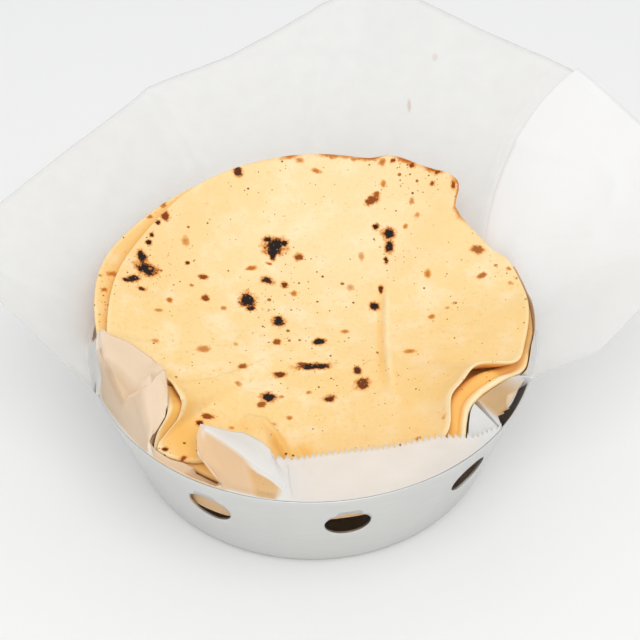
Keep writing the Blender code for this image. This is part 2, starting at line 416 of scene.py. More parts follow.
def layer_top(layer, angle, radius):
    """Height of a bread's upper face. Layer 0 is the top one."""
    height = TOP_MIDDLE - layer * (BREAD + AIR)
    height = height + cupping(layer, angle, radius) * (1 - layer * LOOSENING)
    if layer == 0:
        share = np.minimum(radius / edge_reach(angle), 1)
        height = height + swell(angle, CURL) * share ** CURL_POWER
    return height


def layer_reach(layer, angle):
    """Edge radius of a bread, drawn in where it lies inside the basket's wall."""
    reach = edge_reach(angle) + UNEVEN[layer] * MM
    if layer == 0:
        reach = reach + read_off(TOP_EDGE, angle) * MM
    elif layer == 1:
        reach = reach + swell(angle, SECOND_SHOWS)
        reach = reach + read_off(SECOND_EDGE, angle) * MM
    else:
        for spot in (LOWER_HIDES, LOWER_FILLS):
            reach = reach + swell(angle, spot)
    underside = layer_top(layer, angle, reach) - BREAD
    room = wall_radius(np.minimum(underside, BASKET_HEIGHT)) - WALL_CLEARANCE
    inside = (layer == LAYERS - 1) | (underside < BASKET_HEIGHT + RIM_CLEARANCE)
    return np.where(inside, np.minimum(reach, room), reach)


def around(angle, radius, height):
    """Points at these angles in degrees, as rows of x, y and z."""
    turn, radius, height = np.broadcast_arrays(np.radians(angle), radius, height)
    return np.stack([radius * np.cos(turn), radius * np.sin(turn), height], axis=-1)


# ----------------------------------------------------------
# Baking paper: one cut sheet of thin white silicone paper pushed into the basket under the
# stack. It lines the wall, flares out as wings at the left, back and right, is doubled in a pleat
# at the right, and is folded in over the stack at the front, where its sawn edge shows.
# ----------------------------------------------------------

PAPER = 0.2 * MM
PAPER_GAP = 0.6 * MM
PAPER_LINING = 1.7 * MM
PAPER_COLUMNS = 480
FREE_RINGS = 30
DISH_SHARES = (0, 0.18, 0.36, 0.51, 0.66, 0.77, 0.87, 0.94)
# Where the sheet sags in front of the stack: place, half width, squareness, depth in mm.
POCKET = (-118, 12, 4, 8)
# The sheet's edge: place round the sheet, angle where it leaves the rim, then x, y and z in mm.
SHEET_EDGE = (
    (-157.5, -157.5, -112, -46, 72.5),
    (-156, -157, -113, -13, 60),
    (-153, -154, -106, -22, 60),
    (-149, -150, -95, -23, 60),
    (-145, -146, -84, -30, 60),
    (-142, -142, -76, -38, 60),
    (-140.5, -140.5, -73, -55, 85),
    (-139.5, -139.5, -72, -61, 84),
    (-138, -138, -71.6, -67.4, 82.5),
    (-136.5, -136.5, -73, -73, 80.8),
    (-135, -135, -76.2, -77.9, 77.2),
    (-133.5, -133.5, -80.5, -83.2, 73),
    (-131, -131, -78.2, -89.8, 70.6),
    (-125, -125, -68.3, -97.5, 70.6),
    (-119, -119, -57.7, -104.1, 70.6),
    (-113.25, -113.25, -47, -109.4, 70.6),
    (-112.5, -112, -43.7, -110, 73),
    (-111.75, -111, -47.5, -104.5, 75.2),
    (-111, -110.5, -56, -94.5, 77.5),
    (-110.25, -110, -57, -86, 79.2),
    (-109.5, -109.3, -55.6, -76.9, 80),
    (-108, -108, -48.5, -76, 76.5),
    (-106.5, -106.5, -41.3, -76, 73.5),
    (-104.25, -104, -34.8, -76.5, 73),
    (-102, -102, -30.3, -78.8, 72.5),
    (-99.75, -100, -25.3, -82.5, 72.5),
    (-98.25, -98.5, -21.3, -87.9, 73),
    (-96.75, -97, -18, -97, 75.5),
    (-93, -93, -8.3, -100.3, 78),
    (-84, -84, 8, -99, 80),
    (-67.5, -67.5, 38, -95, 80),
    (-55.5, -55.5, 61, -88, 79),
    (-46.5, -46.5, 80, -85, 76),
    (-40.5, -40.5, 90, -77, 73),
    (-38.25, -38.25, 94.6, -73, 70.7),
    (-36.75, -36.75, 93.5, -65.2, 71),
    (-34.5, -34.5, 97.9, -60.4, 71),
    (-31.5, -31.5, 101.9, -54.5, 71.5),
    (-28.5, -28.5, 105.7, -47.9, 72),
    (-25.5, -25.5, 109.6, -41.8, 72.5),
    (-22.5, -22.5, 112.5, -38.7, 73),
    (-19.5, -19.5, 116, -40, 74),
    (-12, -12, 148, -36, 88.5),
    (10.5, 10.5, 227, 32, 133),
    (38, 33.5, 161, 162, 135),
    (41, 31, 176, 141, 131),
    (45, 35, 158, 164, 134),
    (82.5, 82.5, 40, 255, 152),
    (97.5, 97.5, -50, 202, 123),
    (120, 120, -99, 174, 118),
    (172.5, 172.5, -197, 21, 117),
    (202.5, 202.5, -112, -46, 72.5),
)
# By place round the sheet: how far it arches outwards and sideways in mm, 1 where it crosses the
# rim, and how far the pleat's upper layer lies over the one below in mm.
ARCHED = ((-98.25, 0), (-96.75, 2), (-93, 3), (-55.5, 3), (-46.5, 0))
SWUNG = ((10.5, 0), (38, 34), (41, 22), (45, 30), (82.5, 0))
CROSSES_RIM = ((-38.25, 1), (-36.75, 0), (-22.5, 0), (-19.5, 1))
PLEAT_LIFT = ((10.5, 0), (38, 1.8), (41, 0.9), (45, 0))
# Where the sheet bends sharply between rim and edge: place, x, y, z of the bend, and its crispness.
BENDS = (
    (-112.5, -42, -112, 72.5, 0),
    (-111.75, -44, -109, 74, 0.2),
    (-111, -50, -104, 75.5, 0.2),
    (-110.25, -57, -95, 77.5, 0.2),
    (-109.5, -57, -84, 79.7, 0.5),
    (-108.75, -53.5, -81, 80.3, 0.9),
    (-108, -50, -84, 80.7, 0.9),
    (-106.5, -43, -90, 80.4, 0.9),
    (-105, -37, -95.3, 79.5, 0.9),
    (-103.5, -32, -100, 78.5, 0.9),
    (-102, -27, -104.5, 77.3, 0.9),
    (-100, -20, -108.7, 75.6, 0.9),
    (-98.25, -14, -114.2, 73, 0.9),
    (-95, -6, -112, 75, 0),
)
# Where the sheet lies over the stack's edge and on its face: place, and how closely.
CLINGS = ((-157.5, 0), (-156.5, 1), (-133.5, 1), (-132, 0))
CLING_GAP = 1.0 * MM
# How much of what lies behind each face of the sheet it hides, part by part.
PAPER_DENSE = 0.74
LINED_DENSE = 0.8
WING_DENSE = 0.42
LOBE_DENSE = 0.78
LOBE_THINNER = 0.36
CORNER_DENSE = 0.5
PLEAT_DENSE = 0.9
BENEATH_DENSE = 0.5
SHADE_DENSE = 0.34
TUCK_DENSE = 0.42
# Where the lined part stands off the wall, close to the stack: place and how closely.
SNUG = ((-179, 0), (-172, 1), (-113, 1), (-110, 0), (-57, 0), (-53, 1), (22, 1), (30, 0))
# Creases in the wings: x and y in mm along each, its height and half width.
WING_CREASES = (
    (((122, 130), (146, 107), (166, 93), (172, 77), (170, 64)), 1.1, 4),
    (((117, 59), (141, 52), (156, 46)), 1.3, 4.5),
    (((-98, 168), (-70, 130)), 1.2, 4),
    (((-98, 168), (-124, 81)), 0.9, 4),
    (((8, 235), (0, 149)), 1.2, 4.5),
)
# Grease marks on the back wing: x, y, half width, half length in mm, strength.
STAINS = ((62, 167, 1.3, 4.0, 0.55), (79, 192, 2.0, 2.5, 0.3))
# Sawn edge: first and last place round the sheet, and the teeth's height in mm.
SAWN = ((-97, -38, 2.9), (-38, -34, 2.4))
# Parts of the sheet that lie or look otherwise: place round it, half width and squareness.
OVER_LOBE = (-145, 12, 20)
LOBE_HEM = (-157, 7, 8)
LEFT_TUCK = (-122.5, 9.9, 20)
CORNER = (-108, 4.8, 12)
CORNER_RIDGE = (-104, 6.5, 10)
CORNER_SHADE = (-101, 2.6, 8)
FRONT = (-88, 67, 30)
FRONT_STRIP = (-70, 25, 8)
CLOSE_TUCK = (-45, 7, 6)
OPEN_TUCK = (-43, 7, 8)
PLEAT_FACE = (12, 27, 10)
PLEAT_DOUBLED = (20, 25.3, 30)
# Where a part of it begins or ends, from 0 at the first place to 1 at the second.
LOBE_FROM, LOBE_TO = (-158, -153), (-132.6, -133.4)
TUCK_FROM, TUCK_TO = (-37.5, -36.5), (-23.5, -30.5)
PLEAT_FROM = (4, 34)
# The same on the way from the rim, at 0, to the sheet's edge, at 1.
LOBE_LOW = (0.5, 0.3)
CORNER_MIDDLE = -108.8
CORNER_LEFT, CORNER_RIGHT = (0.97, 0.85), (0.51, 0.48)
RIDGE_FROM, RIDGE_TO = (0.5, 0.52), (0.85, 0.55)
SHADE_TO = (0.45, 0.4)
# The lining's height beside the stack, eased down under the folded side and up in the tuck.
LINING_EASED = ((*OVER_LOBE, -4), (-41, 17, 8, 0.7))
FOOT_SPARE = 1.5 * MM
# How far beside the stack the snug lining runs, and how much closer in the close tuck, in mm.
SIDE_GAP = 0.6
CLOSER = 0.4
LEVEL_WITH_RIM = 2 * MM
INSIDE_RIM = 2.8 * MM
OUTERMOST = 3 * MM
UNDER_EDGE = 0.7 * MM
EDGE_SPARE = 0.8 * MM
SINK = 0.7 * MM
# How far along the way from the stack's side to the rim the last two rings of the lining lie.
NEAR_RIM = (0.55, 0.85)
# How far round, in degrees, and how far in and out, in mm, the taut sheet feels the stack's edge.
FEEL_ROUND = (-2.5, -1.2, 0, 1.2, 2.5)
FEEL_ACROSS = (-1, 0, 1)
SOFT_COLUMNS = 3
# The wings' crumple: about how far apart its folds are in metres, seed, and height in mm.
WING_CRUMPLE = ((0.13, 4, 3.2), (0.05, 9, 0.7))
PAPER_WHITES = ((0.80, 0.79, 0.77), (0.88, 0.87, 0.85))
# Painted highlight where the sheet catches the light.
HIGHLIGHT_PAPER = (0.96, 0.955, 0.945)
# Painted glow: the tan of the bread's light and shade seen through the sheet.
PAINTED_GLOW_TAN = (0.95, 0.63, 0.31)
GREASE = (0.62, 0.33, 0.12)


def creases(place, length, seed, count=5):
    """Straight sharp folds in a few directions, from -1 to 1."""
    draw = np.random.RandomState(seed)
    total = 0
    for _ in range(count):
        turn, phase = draw.uniform(0, math.tau), draw.uniform(0, 1)
        stretch = draw.uniform(0.6, 1.7)
        along = place[..., 0] * math.cos(turn) + place[..., 1] * math.sin(turn)
        total = total + np.abs((along / (length * stretch) + phase) % 1 * 2 - 1) * 2 - 1
    return total / count


def beside(place, route):
    """Distance from a drawn route, how far along it, and the route's length, in mm."""
    near = np.full(place.shape[:-1], 1e9)
    side = np.zeros(place.shape[:-1])
    travelled = np.zeros(place.shape[:-1])
    walked = 0
    for (x0, y0), (x1, y1) in zip(route, route[1:]):
        step = math.hypot(x1 - x0, y1 - y0)
        ux, uy = (x1 - x0) / step, (y1 - y0) / step
        dx, dy = place[..., 0] / MM - x0, place[..., 1] / MM - y0
        along = np.clip(dx * ux + dy * uy, 0, step)
        away = np.hypot(dx - along * ux, dy - along * uy)
        closer = away < near
        near = np.where(closer, away, near)
        side = np.where(closer, np.sign(dy * ux - dx * uy), side)
        travelled = np.where(closer, walked + along, travelled)
        walked += step
    return near * side, travelled, walked


def stack_height(angle, radius):
    """Height of the stack's upper side, or of the rim beside it."""
    second = np.where(radius < layer_reach(1, angle) + EDGE_SPARE, layer_top(1, angle, radius), 0)
    height = np.where(radius < layer_reach(0, angle) + EDGE_SPARE, layer_top(0, angle, radius), second)
    return np.maximum(height, BASKET_HEIGHT)


def drawn_over(start, end):
    """Points of a sheet drawn taut from the rim over the stack's edge to its own edge."""
    count = FREE_RINGS + 1
    shares = np.linspace(0, 1, count)[:, None, None]
    path = start + (end - start) * shares
    angle = np.degrees(np.arctan2(path[..., 1], path[..., 0]))
    radius = np.hypot(path[..., 0], path[..., 1])
    under = [stack_height(angle + turn, radius + out * MM)
             for turn in FEEL_ROUND for out in FEEL_ACROSS]
    pulled = np.max(under, axis=0) + CLING_GAP
    pulled[0] = start[:, 2]
    pulled[-1] = np.maximum(pulled[-1], end[:, 2])
    for first in range(count):
        for last in range(first + 2, count):
            inner = np.arange(first + 1, last)
            part = ((inner - first) / (last - first))[:, None]
            chord = pulled[first] + (pulled[last] - pulled[first]) * part
            pulled[inner] = np.maximum(pulled[inner], chord)
    turns = range(-SOFT_COLUMNS, SOFT_COLUMNS + 1)
    soft = sum(np.roll(pulled, turn, axis=1) for turn in turns) / len(turns)
    pulled[1:-1] = np.maximum(soft, pulled - SINK)[1:-1]
    path[..., 2] = pulled
    return path


def sheet_edge(places):
    """Every column's angle at the rim, and its point on the sheet's edge."""
    rows = np.array(SHEET_EDGE)
    along = np.where(places < rows[0, 0], places + 360, places)
    angle, x, y, z = [np.interp(along, rows[:, 0], rows[:, column]) for column in range(1, 5)]
    return angle, np.stack([x, y, z], axis=-1) * MM


def dish(places):
    """Rings under the stack, and the reach and height of the foot, where the lining starts."""
    last = LAYERS - 1
    rings = []
    for share in DISH_SHARES:
        radius = share * edge_reach(places)
        rings.append(around(places, radius, layer_top(last, places, radius) - BREAD - PAPER_GAP))
    radius = layer_reach(last, places)
    height = layer_top(last, places, radius) - BREAD - PAPER_GAP - swell(places, POCKET)
    radius = np.minimum(radius + FOOT_SPARE, wall_radius(height) - PAPER_LINING)
    return rings, radius, height


def stack_side(places, angle):
    """Reach and height of a line close beside the stack, just under its outermost edge."""
    reaches = [np.max([layer_reach(layer, angle + turn) for turn in (-0.8, 0, 0.8)], axis=0)
               for layer in range(LAYERS)]
    outermost = np.max(reaches, axis=0)
    radius = outermost + (SIDE_GAP - CLOSER * bell(places, *CLOSE_TUCK)) * MM
    low = layer_top(LAYERS - 1, angle, radius) < BASKET_HEIGHT + LEVEL_WITH_RIM
    low = low & (layer_top(1, angle, radius) - BREAD < BASKET_HEIGHT + LEVEL_WITH_RIM)
    radius = np.where(low, np.minimum(radius, RIM_RADIUS - INSIDE_RIM), radius)
    tops = [np.where(reach > outermost - OUTERMOST, layer_top(layer, angle, radius), 0)
            for layer, reach in enumerate(reaches)]
    height = np.max(tops, axis=0) - 0.2 * BREAD
    for layer, reach in enumerate(reaches):
        under = layer_top(layer, angle, radius) - BREAD - UNDER_EDGE
        height = np.where(reach + 0.1 * MM > radius, np.minimum(height, under), height)
    for spot in LINING_EASED:
        height = height + swell(places, spot)
    return radius, height


def over_rim(angle, end, height):
    """Where the sheet leaves the rim: outside it where it flares, inside where it turns in."""
    out = around(angle, RIM_RADIUS + 0.4 * MM, height)
    flares = np.linalg.norm(end[:, :2], axis=1) > np.linalg.norm(out[:, :2], axis=1)
    return np.where(flares[:, None], out, around(angle, RIM_RADIUS - 0.7 * MM, height))


def lining(places, angle, foot, side, start):
    """Rings from the foot up to the rim, loose on the wall or snug to the stack's side."""
    foot_radius, foot_height = foot
    side_radius, side_height = side
    rim_height = start[:, 2]
    near = around(angle, side_radius, side_height)
    snug = read_off(SNUG, places)[:, None]

    middle_height = (foot_height + rim_height) / 2
    wall_line = wall_radius(np.minimum(middle_height, BASKET_HEIGHT)) - PAPER_LINING
    middle = around(angle, foot_radius + 0.9 * (wall_line - foot_radius), middle_height)
    halfway = (around(places, foot_radius, foot_height) + middle) / 2
    halfway_height = (foot_height + side_height) / 2
    halfway_line = wall_radius(np.minimum(halfway_height, BASKET_HEIGHT)) - PAPER_LINING
    beneath = around(angle, np.minimum(side_radius, halfway_line), halfway_height)
    halfway += (beneath - halfway) * snug
    middle += (near - middle) * snug

    raised = snug * np.clip((side_height - rim_height) / (3 * MM) + 1, 0, 1)[:, None]
    raised = raised * (1 - bell(places, *OVER_LOBE))[:, None]
    below = around(angle, RIM_RADIUS - 1.9 * MM, rim_height - 1.6 * MM)
    below += (near + (start - near) * NEAR_RIM[0] - below) * raised
    rim = around(angle, RIM_RADIUS - 1.2 * MM, rim_height)
    rim += (near + (start - near) * NEAR_RIM[1] - rim) * raised
    return [halfway, middle, (middle + below) / 2, below, rim, start]


def free_part(places, angle, start, end):
    """Rings from the rim to the sheet's edge: arched, bent sharply, or drawn over the stack."""
    outward = around(angle, 1, 1)
    sideways = around(angle + 90, 1, 0)
    arch, swing = read_off(ARCHED, places)[:, None], read_off(SWUNG, places)[:, None]
    control = (start + end) / 2 + (outward * arch + sideways * swing) * MM
    bends = np.array(BENDS)
    bent = (places > bends[0, 0]) & (places < bends[-1, 0])
    x, y, z, crisp = [np.interp(places, bends[:, 0], bends[:, column]) for column in range(1, 5)]
    control = np.where(bent[:, None], np.stack([x, y, z], axis=-1) * MM, control)
    clings = read_off(CLINGS, places)[:, None]
    drawn = drawn_over(start, end)
    rings = []
    for step in range(1, FREE_RINGS + 1):
        t = step / FREE_RINGS
        curve = start * (1 - t) ** 2 + control * 2 * t * (1 - t) + end * t ** 2
        straight = start + (control - start) * min(2 * t, 1) + (end - control) * max(2 * t - 1, 0)
        path = curve + (straight - curve) * crisp[:, None]
        rings.append(path + (drawn[step] - path) * clings)
    return rings


def crease_wings(net):
    """Creases in the part of the sheet that lies beyond the rim."""
    wide = np.clip(np.linalg.norm(net[:, :, :2], axis=-1) / RIM_RADIUS - 1, 0, 1)
    crumple = sum(creases(net, length, seed) * height for length, seed, height in WING_CRUMPLE)
    net[:, :, 2] += wide ** 0.5 * crumple * MM
    for route, height, width in WING_CREASES:
        away = beside(net, route)[0]
        net[:, :, 2] += (wide > 0) * height * MM * np.exp(-(away / width) ** 2)


def paper_net():
    """Points of the paper's upper face: rings from the middle outwards, columns round the sheet."""
    places = -180 + np.arange(PAPER_COLUMNS) * 360 / PAPER_COLUMNS
    angle, end = sheet_edge(places)
    crosses = read_off(CROSSES_RIM, places)
    rings, *foot_line = dish(places)
    foot = around(places, *foot_line)
    rings.append(foot)
    rim_height = np.maximum(BASKET_HEIGHT + 0.45 * MM, foot_line[1] + 0.5 * MM)
    start = over_rim(angle, end, rim_height)
    side_line = stack_side(places, angle)
    near = around(angle, *side_line)
    held = lining(places, angle, foot_line, side_line, start) + free_part(places, angle, start, end)
    for step, point in enumerate(held, 1):
        share = step / len(held)
        loose = foot + (near - foot) * min(share / 0.6, 1) + (end - near) * max(share / 0.4 - 1.5, 0)
        rings.append(loose + (point - loose) * crosses[:, None])
    net = np.array(rings)

    first = len(rings) - FREE_RINGS
    fade = np.clip((np.arange(len(rings)) - first) / FREE_RINGS, 0, 1)
    net[:, :, 2] += fade[:, None] ** 0.5 * read_off(PLEAT_LIFT, places)[None, :] * MM
    crease_wings(net)
    columns = np.arange(PAPER_COLUMNS)
    out_from = np.stack([end - start, end - foot])[(crosses < 0.5).astype(int), columns]
    out_from /= np.linalg.norm(out_from, axis=1)[:, None] + 1e-9
    for low, high, height in SAWN:
        tooth = (places >= low) & (places < high) & (columns % 2 == 0)
        net[-1] += out_from * (tooth * height * MM)[:, None]
    return net


def points_of(mesh):
    """The mesh's points, as rows of x, y and z."""
    points = np.empty(len(mesh.vertices) * 3)
    mesh.vertices.foreach_get("co", points)
    return points.reshape(-1, 3)


def move_points(mesh, points):
    mesh.vertices.foreach_set("co", points.ravel())
    mesh.update()


def follow_net(mesh, net):
    """Move a spun net of rings and columns on to its real place."""
    points = points_of(mesh)
    ring = np.rint(np.hypot(points[:, 0], points[:, 1]) * (len(net) - 1)).astype(int)
    turn = np.degrees(np.arctan2(points[:, 1], points[:, 0])) + 180
    column = np.rint(turn * net.shape[1] / 360).astype(int) % net.shape[1]
    move_points(mesh, net[ring, column])
    return ring, column


def store(mesh, name, values):
    """Keep a number on every vertex for the material to read."""
    kept = mesh.attributes.new(name, "FLOAT", "POINT")
    kept.data.foreach_set("value", np.asarray(values, float).ravel())


def ramp(value, low, high):
    """0 up to the first bound, 1 from the second on."""
    return np.clip((value - low) / (high - low), 0, 1)


def paper_looks(ring, places, ring_count):
    """How dense the sheet looks at every point, how much painted tan glow of the bread lies on it, and
    how much painted pale highlight.
    """
    t = np.clip((ring - ring_count + 1 + FREE_RINGS) / FREE_RINGS, 0, 1)
    free = t > 0
    over_left = ramp(places, *LOBE_FROM) * ramp(places, *LOBE_TO) * free
    low_part = ramp(t, *LOBE_LOW) * over_left
    flap = np.where(places < CORNER_MIDDLE, ramp(t, *CORNER_LEFT), ramp(t, *CORNER_RIGHT))
    over_front = bell(places, *CORNER) * flap * free
    ridge = bell(places, *CORNER_RIDGE) * ramp(t, *RIDGE_FROM) * ramp(t, *RIDGE_TO)
    in_shade = bell(places, *CORNER_SHADE) * ramp(t, *SHADE_TO) * free
    lined = np.clip(ring_count - FREE_RINGS - 4 - ring, 0, 1) * (1 - bell(places, *OPEN_TUCK))
    inside = np.clip(lined + bell(places, *LEFT_TUCK), 0, 1) * (1 - over_front)
    beneath = np.clip(len(DISH_SHARES) + 1.5 - ring, 0, 1)
    tucked = ramp(places, *TUCK_FROM) * ramp(places, *TUCK_TO)
    strip = bell(places, *FRONT_STRIP) * free
    doubled = ramp(places, *PLEAT_FROM) * bell(places, *PLEAT_DOUBLED) * free

    dense = PAPER_DENSE + (WING_DENSE - PAPER_DENSE) * (1 - bell(places, *FRONT)) * free
    for there, amount in (
        (LINED_DENSE, np.maximum(lined, bell(places, *LOBE_HEM) * free)),
        (LOBE_DENSE - LOBE_THINNER * low_part, over_left), (CORNER_DENSE, over_front),
        (PLEAT_DENSE, doubled), (BENEATH_DENSE, beneath), (SHADE_DENSE, in_shade),
        (TUCK_DENSE, tucked),
    ):
        dense = dense + (there - dense) * amount
    # Painted glow: tan where the bread behind the sheet lends it its light, fullest in the shaded tucks
    # and the corner's opening.
    painted_bread_glow = 0.65 * inside + 0.62 * over_left + 0.75 * over_front + in_shade + tucked
    painted_bread_glow = painted_bread_glow + 0.3 * beneath + 0.18 * strip * (1 - over_front) * (1 - ridge)
    # Painted highlight: the corner's ridge, the doubled pleat and its face, and the upper part of the
    # fold over the left lobe are painted paler where they catch the light.
    pale = 0.8 * ridge + 0.8 * doubled + over_left - low_part
    pale = pale + 0.45 * bell(places, *PLEAT_FACE) * free
    return {"dense": dense, "painted_bread_glow": np.clip(painted_bread_glow, 0, 1), "pale": np.clip(pale, 0, 1)}


def reading(finish, name):
    """A number kept on the piece's vertices."""
    return add_node(finish, "Attribute", {}, attribute_name=name).outputs["Fac"]


def work(finish, operation, first, second):
    """A sum on two values, either of them plain or changing over the surface."""
    return add_node(finish, "Math", {0: first, 1: second}, operation=operation).outputs["Value"]


def baking_paper():
    """Translucent white, faintly fibrous and crumpled, with painted tan glow where bread lies behind it
    and painted pale highlights where folds catch the light.
    """
    finish = new_finish("baking paper", {"Roughness": 0.55})
    feed(finish, reading(finish, "dense"), "Alpha")
    fibre = noise(finish, 90, 5)
    color = blend(finish, fibre, *PAPER_WHITES)
    # Painted highlight on the lit folds and the pleat.
    color = blend(finish, reading(finish, "pale"), color, HIGHLIGHT_PAPER)
    # Painted tan glow of the bread through the sheet.
    color = blend(finish, reading(finish, "painted_bread_glow"), color, PAINTED_GLOW_TAN)
    for x, y, width, length, strength in STAINS:
        spot = add_node(finish, "Mapping", {
            "Vector": own_place(finish), "Location": (x * MM, y * MM, 0),
            "Scale": (width * MM, length * MM, 1)}, vector_type="TEXTURE")
        away = add_node(finish, "VectorMath", {0: spot.outputs["Vector"]}, operation="LENGTH")
        mark = between(finish, away.outputs["Value"], 1.2, 0.5, 0, strength, eased=False)
        color = blend(finish, mark, color, GREASE)
    feed(finish, color, "Base Color")
    crumple = add_node(finish, "TexVoronoi", {
        "Vector": own_place(finish, (1, 1, 0.5)), "Scale": 28}, feature="DISTANCE_TO_EDGE")
    add_relief(finish, work(finish, "ADD", crumple.outputs["Distance"], fibre), 0.15, 1 * MM)
    return finish


def lay_paper():
    net = paper_net()
    profile = [(ring / (len(net) - 1), 0) for ring in range(len(net))]
    mesh = spun("baking_paper", profile, PAPER_COLUMNS, closed=False)
    ring, column = follow_net(mesh, net)
    places = -180 + column * 360 / PAPER_COLUMNS
    for name, values in paper_looks(ring, places, len(net)).items():
        store(mesh, name, values)
    piece = show("baking_paper", mesh, baking_paper())
    thicken = piece.modifiers.new("thickness", "SOLIDIFY")
    thicken.thickness = PAPER
    thicken.offset = -1
    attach(piece, "root")
    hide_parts("liner")


lay_paper()


# ----------------------------------------------------------
# Chapatis: thin unleavened wheat breads, rolled out round and baked on a hot griddle. They are
# soft enough to hang cupped in the basket's mouth, pale and floury, with scorched blisters.
# ----------------------------------------------------------

# How finely each bread is made, from the top one down: rings above and below, and spokes.
FINENESS = ((120, 30, 480), (60, 30, 480)) + ((26, 26, 288),) * 4
# Where the edge turns sharply the spokes stand closer: angle and half width.
CROWDED = ((-134, 14), (-34, 14))
SPOKE_CROWDING = 0.62
RING_CROWDING = 1.4
ROUNDING = 8
# Scorched blisters on the top bread: x, y, half length, half width in mm, turn, and darkness.
SPOTS = (
    (-21, 68, 5.6, 4.4, 20, 1.0),
    (-25, 72, 2.6, 2.0, 0, 1.0),
    (-16, 70, 2.4, 1.8, 0, 0.9),
    (-22, 62, 1.8, 3.0, 0, 1.0),
    (-36, 28, 4.0, 4.8, 0, 1.0),
    (-34, 22, 2.4, 1.8, 0, 1.0),
    (-25, 44, 3.4, 2.4, -25, 0.85),
    (-15, 41, 2.0, 2.0, 0, 0.75),
    (-7, 61, 2.3, 2.0, 30, 0.6),
    (-18, 13, 3.1, 3.6, 20, 1.0),
    (-19, -4, 1.7, 2.0, 0, 0.55),
    (4, -3, 3.1, 2.3, 20, 0.95),
    (1, -22, 8.0, 2.2, 3, 1.0),
    (-5, -20, 3.4, 1.0, 0, 0.6),
    (-17, -29, 2.6, 1.8, 0, 0.75),
    (-37, -24, 2.0, 1.9, 0, 0.5),
    (-23, -46, 3.4, 3.2, 30, 0.9),
    (-26, -51, 2.6, 1.7, 50, 0.5),
    (-61, 42, 2.3, 1.6, -10, 0.65),
    (-59, 27, 1.9, 1.9, 0, 0.65),
    (-70, 50, 1.1, 1.1, 0, 0.8),
    (35, 23, 2.5, 2.7, 0, 0.9),
    (39, 35, 1.2, 2.6, 0, 0.8),
    (45, 72, 3.1, 3.1, 0, 1.0),
    (45, 64, 2.3, 3.6, -8, 1.0),
    (38, 77, 1.8, 1.8, 0, 0.9),
    (43, 55, 1.0, 2.6, 0, 0.9),
    (36, 93, 3.0, 2.2, 10, 0.6),
    (39, 96, 1.6, 1.3, 0, 0.5),
    (24, -27, 1.6, 2.6, 10, 0.8),
    (26, -37, 2.8, 3.8, 0, 0.75),
    (9, -47, 2.6, 2.1, 10, 0.8),
    (-43, 112, 2.4, 2.2, -30, 0.8),
    (95, 56, 3.2, 2.3, -30, 0.45),
    (96, 37, 2.2, 1.6, 20, 0.4),
    (-53, -62, 2.6, 1.5, 0, 0.6),
    (-57, -67, 1.5, 1.5, 0, 0.8),
    (-92, 39, 5.4, 3.9, -10, 1.0),
    (-95, 47, 2.4, 4.4, 10, 1.0),
    (-98, 29, 3.2, 2.0, 40, 1.0),
    (-102, 26, 1.6, 1.4, 0, 0.9),
    (-93, 23, 2.0, 1.3, 0, 0.8),
    (-92, 59, 1.5, 1.8, 0, 0.9),
    (-91, 65, 1.1, 1.7, 0, 0.85),
    (-88, 74, 1.3, 1.3, 0, 0.85),
    (-84, 79, 2.0, 2.7, 0, 0.7),
    (49, 112, 1.4, 0.9, 0, 0.7),
    (60, 107, 1.5, 1.0, 0, 0.7),
    (74, 98, 1.5, 1.0, 0, 0.7),
    (83, 90, 1.2, 1.6, 0, 0.6),
    (71, 94, 1.0, 1.0, 0, 0.6),
    (-73, -84, 1.3, 1.2, 0, 0.8),
    (-64, -88, 1.8, 0.9, 20, 0.6),
)
